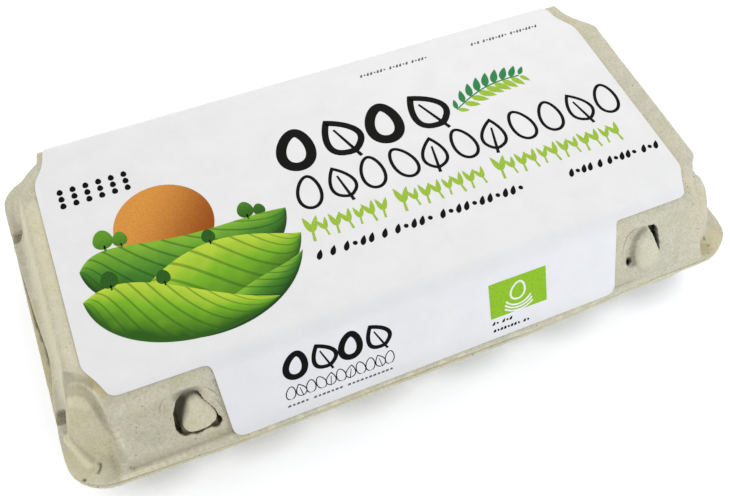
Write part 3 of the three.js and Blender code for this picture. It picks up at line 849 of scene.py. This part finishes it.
def eggLine(wide, high, steps=40):
    # blunt end down
    angles = [2 * math.pi * i / steps for i in range(steps)]
    return [(wide / 2 * math.cos(a) * (1 - 0.16 * math.sin(a)), high / 2 * math.sin(a)) for a in angles]


def leafLine(wide, high, steps=14):
    # a pointed leaf standing on its stalk, widest below the middle
    side = bezier(((0, -high / 2), (0.9 * wide, -0.3 * high), (0.35 * wide, 0.28 * high), (0, high / 2)),
                  steps)
    return side + [(-x, y) for x, y in side[-2:0:-1]]


def lifted(share):
    # by a share of the step that keeps crossing marks apart
    return Matrix.Translation((0, 0, share * printSet["crossing"] * mm))


def mirroredMark(mark):
    other = copyOf(mark, mark.name + "Mirror")
    other.data.transform(lifted(0.5) @ Matrix.Scale(-1, 4, (1, 0, 0)))
    other.data.flip_normals()
    return joined(mark.name, [mark, other])


def laid(x, y, z, slope, turn, size):
    return (Matrix.Translation(Vector((x + wallSet["labelShift"], y, z)) * mm)
            @ Matrix.Rotation(slope, 4, "X")
            @ Matrix.Rotation(math.radians(turn), 4, "Z") @ Matrix.Scale(size, 4))


def onTop(x, y, turn=0, size=1, layer=0):
    # where a mark lies on the flat top
    return laid(x, y, labelSet["topZ"] + layer * printSet["layer"], 0, turn, size)


def onFlap(x, down, turn=0, size=1, layer=0):
    # the same on the front flap, down the wall from its top corner
    t = (wallSet["plateZ"] - down * math.cos(wallSet["lean"]) - labelSet["flareZ"]) / labelSet["flareTall"]
    off = labelSet["off"] + layer * printSet["layer"]
    y, z = wallPoint(t, off)
    aboveY, aboveZ = wallPoint(t + 0.02, off)
    return laid(x, -y, z, math.atan2(aboveZ - z, y - aboveY), turn, size)


def stamp(mark, places):
    # copies of one mark, each with a mesh of its own
    copies = []
    for place in places:
        other = copyOf(mark, mark.name + "Copy")
        other.data.transform(place)
        copies.append(other)
    bpy.data.objects.remove(mark)
    return copies


inkLook = {"mottle": 0.7, "detail": 3, "fine": 0.6, "least": 0.86, "most": 1.14, "sheen": 0.05}

# printed fields: where the three tones stand on the slope, the clouds that shift them, the
# furrows, and the mesh's columns and rows
hillSet = {"stops": (0.08, 0.58, 0.97), "cloud": 9, "cloudShare": 0.35, "cloudShift": -0.17,
           "furrows": 62, "fan": 0.35, "furrowDeep": 0.55, "columns": 40, "rows": 10}


def hillMaterial(name, crest, middle, foot):
    # pale along the crest, darker down the slope, with furrows; v runs up the slope and u
    # along it
    material, add = newMaterial(name)
    place = add("TexCoord")
    at = add("Mapping", {"Scale": [1 / mm] * 3}, {"Vector": place.outputs["Object"]})
    split = add("SeparateXYZ", links={0: place.outputs["UV"]})
    cloud = add("TexNoise", {"Scale": 1 / hillSet["cloud"], "Detail": 3, "Roughness": 0.5}, {"Vector": at})
    height = add("Math", {"operation": "MULTIPLY_ADD", 1: hillSet["cloudShare"], 2: hillSet["cloudShift"]},
                 {0: cloud})
    height = add("Math", {"operation": "ADD"}, {0: height, 1: split.outputs[1]})
    ramp = add("ValToRGB", links={0: height})
    stops = ramp.color_ramp.elements
    low, half, high = hillSet["stops"]
    stops[0].position, stops[0].color = low, linear(foot)
    stops[1].position, stops[1].color = high, linear(crest)
    stops.new(half).color = linear(middle)
    # furrows fan out from the crest; v bends them
    fan = add("Math", {"operation": "MULTIPLY_ADD", 1: hillSet["fan"]},
              {0: split.outputs[1], 2: split.outputs[0]})
    rows = add("Math", {"operation": "MULTIPLY", 1: hillSet["furrows"]}, {0: fan})
    wave = add("Math", {"operation": "SINE"}, {0: rows})
    line = add("MapRange", {"From Min": 0.72, "From Max": 0.98, "To Max": hillSet["furrowDeep"]},
               {"Value": wave})
    tone = add("Mix", {"data_type": "RGBA", 7: linear(foot)}, {0: line, 6: ramp})
    shader = add("BsdfPrincipled", {"Roughness": 0.5, "Specular IOR Level": inkLook["sheen"], "IOR": 1.5},
                 {"Base Color": tone, "Normal": sheetBump(add, at)})
    add("OutputMaterial", links={"Surface": shader})
    return material


def field(name, crest, foot, layer):
    # a hill: a grid whose columns run from its foot line up to its crest line; both lines
    # share their ends
    columns = hillSet["columns"]
    piece = addPrimitive(name, bpy.ops.mesh.primitive_grid_add, x_subdivisions=columns,
                         y_subdivisions=hillSet["rows"], size=1)
    top, low = bezier(crest, columns), bezier((crest[0], *foot, crest[-1]), columns)
    z = labelSet["topZ"] - printSet["sunk"] + layer * printSet["layer"]
    for vertex in piece.data.vertices:
        i, v = round((vertex.co.x + 0.5) * columns), vertex.co.y + 0.5
        x = low[i][0] + (top[i][0] - low[i][0]) * v
        y = low[i][1] + (top[i][1] - low[i][1]) * v
        vertex.co = Vector((x + wallSet["labelShift"], y, z)) * mm
    editAll(piece)
    extrudeBy(0, 0, printSet["thick"])
    closeShell()
    return piece


blackInk = sheetMaterial("blackOffsetInk", inkLook, "0a0a09")
greyInk = sheetMaterial("greyOffsetInk", inkLook, "5d5d5b")
limeInk = sheetMaterial("limeOffsetInk", inkLook, "96b83c")
greenInk = sheetMaterial("greenOffsetInk", inkLook, "2f8048")
fieldInk = sheetMaterial("fieldGreenOffsetInk", inkLook, "8ab82a")
whiteInk = sheetMaterial("whiteOffsetInk", inkLook, "e4e6dc")
sunInk = sheetMaterial("amberOffsetInk", inkLook, "cf8d40", "924a14", ((-98, 14), (-70, -8)))
treeInk = sheetMaterial("treeGreenOffsetInk", inkLook, "5c9428", "2c5a1e", ((0, 10), (0, -6)))
slopeInk = hillMaterial("slopeOffsetInk", "b4cc3e", "74ac28", "2e5a1c")
shadeInk = hillMaterial("shadedSlopeOffsetInk", "7cae34", "47822a", "1f451a")


def finishPrint(name, parts, ink):
    piece = joined("label.print" + name, parts)
    smoothShade(piece, 30)
    finishPiece(piece, "label_paper", ink)


# the count: eighteen small eggs as they lie in the carton
countSet = {"x": -121, "y": 28.2, "pitchX": 5.4, "pitchY": 3.7, "wide": 2.5, "high": 3.1}
dot = inkMark("countEgg", eggLine(countSet["wide"], countSet["high"], 20))
finishPrint("Count", stamp(dot, [
    onTop(countSet["x"] + i * countSet["pitchX"], countSet["y"] + j * countSet["pitchY"])
    for i in range(6) for j in range(3)]), blackInk)

# the picture: a low sun behind ploughed hills with a few round trees
pictureSet = {
    "sun": (-85, 4, 20.5),
    # crest of each hill, its foot between the same ends, the layer and the ink; together they
    # fill the lower part of an oval
    "hills": {
        "HillBack": (
            ((-122, -6), (-110, 13), (-90, -14), (-62, -1), (-36, -6)),
            ((-120, -34), (-79, -40), (-40, -34)), 1, shadeInk),
        "HillRight": (
            ((-112, -34), (-92, -10), (-66, -2), (-48, -17), (-34.3, -20)),
            ((-96, -48), (-66, -50), (-40, -42)), 2, slopeInk),
        "HillFront": (
            ((-88, -50.5), (-70, -35), (-56, -33), (-44, -33), (-36.5, -28)),
            ((-70, -55), (-54, -50), (-42, -42)), 3, shadeInk),
        "HillLeft": (
            ((-123.7, -20), (-108, -10), (-92, -21), (-74, -38), (-52, -44.8)),
            ((-122, -42), (-98, -54), (-72, -56)), 4, slopeInk),
    },
    # trees: x, y of the foot, size, layer
    "trees": ((-110, 0, 1.0, 2), (-103.5, -0.5, 0.75, 2), (-52, -6, 0.85, 2), (-46.5, -6.5, 0.62, 2),
              (-70, -12, 0.7, 3), (-112, -18.5, 0.85, 5), (-92, -24, 0.7, 5)),
    "crown": (8, 9.5, 28), "crownUp": 6, "trunk": ((-0.5, 0), (0.5, 0), (0.35, 3), (-0.35, 3)),
}
x, y, radius = pictureSet["sun"]
disc = inkMark("sunDisc", arcLine(radius, range(0, 360, 5)))
finishPrint("Sun", stamp(disc, [onTop(x, y)]), sunInk)
for name, (crest, foot, layer, ink) in pictureSet["hills"].items():
    finishPiece(field("label.print" + name, crest, foot, layer), "label_paper", ink)
crown = inkMark("treeCrown", eggLine(*pictureSet["crown"]))
crown.data.transform(Matrix.Translation((0, pictureSet["crownUp"] * mm, 0)))
tree = joined("tree", [crown, inkMark("treeTrunk", pictureSet["trunk"])])
places = [onTop(x, y, 0, size, layer) for x, y, size, layer in pictureSet["trees"]]
finishPrint("Trees", stamp(tree, places), treeInk)

# headings: rows of bold and of thin eggs and leaves, once on the top and once on the flap;
# each row's x, y, pitch, size and how bold its strokes are
boldSet = {"wide": 17.4, "high": 23.5, "stroke": 4.6, "leafWide": 19, "leafStroke": 3, "vein": 1.7,
           "leaves": (1, 3), "tilts": (-14, 20, -9, 24),
           "top": (-21.5, 21.2, 20.8, 1, 1), "flap": (-55.2, 14.2, 11.5, 0.6, 1)}
thinSet = {"wide": 11.4, "high": 18, "stroke": 1.5, "leafWide": 12.54, "leafStroke": 1.5, "vein": 1.5,
           "leaves": (1, 4, 6, 9), "tilts": (-12, 9, -6, 14, -9, 6, -14, 8, -7, 12, -10),
           "top": (-24, -2.2, 14.45, 1, 1), "flap": (-59.6, 27, 4.25, 0.38, 0.8)}


def veinedLeaf(wide, high, stroke, vein):
    # a leaf's border and its midrib, which stands a hair higher where they cross
    leaf = inkMark("leaf", leafLine(wide, high), stroke)
    rib = inkMark("leafRib", [(-vein / 2, -0.6 * high), (vein / 2, -0.6 * high),
                              (0.3 * vein, 0.2 * high), (-0.3 * vein, 0.2 * high)])
    rib.data.transform(lifted(1))
    return joined("leaf", [leaf, rib])


def headingRow(s, placing, key):
    # outlined eggs with veined leaves between them
    x, y, pitch, size, bold = s[key]
    eggs, leaves = [], []
    for i, tilt in enumerate(s["tilts"]):
        (leaves if i in s["leaves"] else eggs).append(placing(x + i * pitch, y, tilt, size))
    egg = inkMark("egg", eggLine(s["wide"], s["high"]), s["stroke"] * bold)
    leaf = veinedLeaf(s["leafWide"], s["high"], s["leafStroke"] * bold, s["vein"] * bold)
    return stamp(egg, eggs) + stamp(leaf, leaves)


finishPrint("Bold", headingRow(boldSet, onTop, "top"), blackInk)
finishPrint("Thin", headingRow(thinSet, onTop, "top"), blackInk)
finishPrint("FlapBold", headingRow(boldSet, onFlap, "flap"), blackInk)
finishPrint("FlapThin", headingRow(thinSet, onFlap, "flap"), blackInk)

# the lime line: sprouts of a stem and two leaves, in three groups
sproutSet = {"wide": 2.3, "high": 7.4, "groups": (7, 8, 12), "pitch": 5.2, "space": 4.4,
             "x": -29.5, "y": -21, "bladeX": 1.3, "bladeY": 1.9, "splay": -20,
             "stem": ((-0.55, -5.4), (0.55, -5.4), (0.4, 0), (-0.4, 0)),
             # the first of a group is taller; the others take turns
             "firstSize": 1.16, "firstUp": 0.9, "sizes": (0.94, 0.84, 0.98), "tilts": (-8, 6)}
blade = inkMark("blade", leafLine(sproutSet["wide"], sproutSet["high"]))
blade.data.transform(Matrix.Translation((sproutSet["bladeX"] * mm, sproutSet["bladeY"] * mm, 0))
                     @ Matrix.Rotation(math.radians(sproutSet["splay"]), 4, "Z"))
blades = mirroredMark(blade)
stem = inkMark("stem", sproutSet["stem"])
stem.data.transform(lifted(1))
sprout = joined("sprout", [blades, stem])
places, x = [], sproutSet["x"]
for group in sproutSet["groups"]:
    for i in range(group):
        size, up = (sproutSet["sizes"][i % 3], 0) if i else (sproutSet["firstSize"], sproutSet["firstUp"])
        places.append(onTop(x, sproutSet["y"] + up, sproutSet["tilts"][i % 2], size))
        x += sproutSet["pitch"]
    x += sproutSet["space"]
finishPrint("Sprouts", stamp(sprout, places), limeInk)

# small lines: leaning leaves with dots between them, in groups
lineSet = {
    "wide": 2.5, "high": 5.4, "dot": 1.1, "tilt": -30,
    # rows: x, y, groups, pitch, space between groups, size
    "top": ((-31, -33, (1, 1, 4, 1, 5, 11), 3.65, 2.2, 0.95), (84.5, -34, (4, 1, 5, 3), 3.1, 1.8, 0.9)),
    "back": ((21.5, 51, (8, 6, 5), 1.66, 1.4, 0.42), (78.5, 51, (3, 8, 9), 1.66, 1.4, 0.42)),
    "flap": ((-61.4, 33, (5, 7, 11), 1.85, 1.7, 0.52),),
    "badge": ((30.2, 30, (2, 3), 1.7, 1.2, 0.48), (30.2, 33.4, (8, 2), 1.62, 1.2, 0.46)),
}


def leafLines(placing, key):
    leaves, dots = [], []
    for x, y, groups, pitch, space, size in lineSet[key]:
        for group in groups:
            for i in range(group):
                (dots if i % 3 == 1 else leaves).append(placing(x, y, lineSet["tilt"], size))
                x += pitch
            x += space
    leaf = inkMark("lineLeaf", leafLine(lineSet["wide"], lineSet["high"], 8))
    dot = inkMark("lineDot", arcLine(lineSet["dot"], range(0, 360, 30)))
    return stamp(leaf, leaves) + stamp(dot, dots)


finishPrint("Line", leafLines(onTop, "top"), blackInk)
finishPrint("BackLines", leafLines(onTop, "back"), greyInk)
finishPrint("FlapLine", leafLines(onFlap, "flap"), greyInk)

# a garland: leaves in pairs along a rising stem
garlandSet = {"x": 54, "y": 16.5, "long": 36, "rise": 8.5, "bow": 3.2, "pairs": 9, "wide": 3.2, "high": 7.6,
              "splay": 52, "stem": 0.7}


def garlandPoint(t):
    s = garlandSet
    return Vector((s["x"] + s["long"] * t, s["y"] + s["rise"] * t + s["bow"] * math.sin(math.pi * t)))


dark, pale = [], []
for i in range(garlandSet["pairs"]):
    t = i / (garlandSet["pairs"] - 1)
    here = garlandPoint(t)
    along = garlandPoint(t + 0.01) - here
    heading, size = math.degrees(math.atan2(along.y, along.x)) - 90, 0.72 + 0.4 * math.sin(math.pi * t) ** 0.5
    for side, found in ((1, dark), (-1, pale)):
        away = math.radians(heading + 90 + side * garlandSet["splay"])
        reach = 0.5 * garlandSet["high"] * size + 0.5
        found.append(onTop(here.x + reach * math.cos(away), here.y + reach * math.sin(away),
                           heading + side * garlandSet["splay"], size, 0.5 if side > 0 else 0))
line = [garlandPoint(t / 12) for t in range(13)]
stem = inkMark("garlandStem", [(p.x, p.y + garlandSet["stem"] / 2) for p in line]
               + [(p.x, p.y - garlandSet["stem"] / 2) for p in reversed(line)])
leaf = inkMark("garlandLeaf", leafLine(garlandSet["wide"], garlandSet["high"]))
second = copyOf(leaf, "garlandLeafPale")
finishPrint("GarlandDark", stamp(leaf, dark) + stamp(stem, [onTop(0, 0, 0, 1, 1)]), greenInk)
finishPrint("GarlandPale", stamp(second, pale), limeInk)

# the green field on the flap with an egg over three bowed straws, and two small lines under it
badgeSet = {"x": 42.25, "down": 18.3, "wide": 26.5, "high": 17.8,
            "eggWide": 7.4, "eggHigh": 9.6, "stroke": 0.9, "eggUp": 1.6, "eggTilt": -14, "strawsUp": 1.2,
            # straws: the radius of each and how far it turns to either side
            "straws": ((6.4, 58), (7.9, 50), (9.4, 42)), "strawThick": 0.8}
x, down, wide, high = (badgeSet[key] for key in ("x", "down", "wide", "high"))
panel = inkMark("badge", [(sx * wide / 2, sy * high / 2) for sx, sy in ((-1, -1), (1, -1), (1, 1), (-1, 1))])
finishPrint("Badge", stamp(panel, [onFlap(x, down)]), fieldInk)
ring = inkMark("badgeEgg", eggLine(badgeSet["eggWide"], badgeSet["eggHigh"], 28), badgeSet["stroke"])
straws = []
for radius, half in badgeSet["straws"]:
    angles = [-90 - half + 2 * half * i / 14 for i in range(15)]
    outer = arcLine(radius + badgeSet["strawThick"], reversed(angles))
    straws.append(inkMark("straw", arcLine(radius, angles) + outer))
places = [onFlap(x, down - badgeSet["eggUp"], badgeSet["eggTilt"], 1, 1)]
under = [onFlap(x, down - badgeSet["strawsUp"], 0, 1, 1)]
finishPrint("BadgeEgg", stamp(ring, places) + stamp(joined("straws", straws), under), whiteInk)
finishPrint("BadgeLines", leafLines(onFlap, "badge"), blackInk)
print("print on the label done")
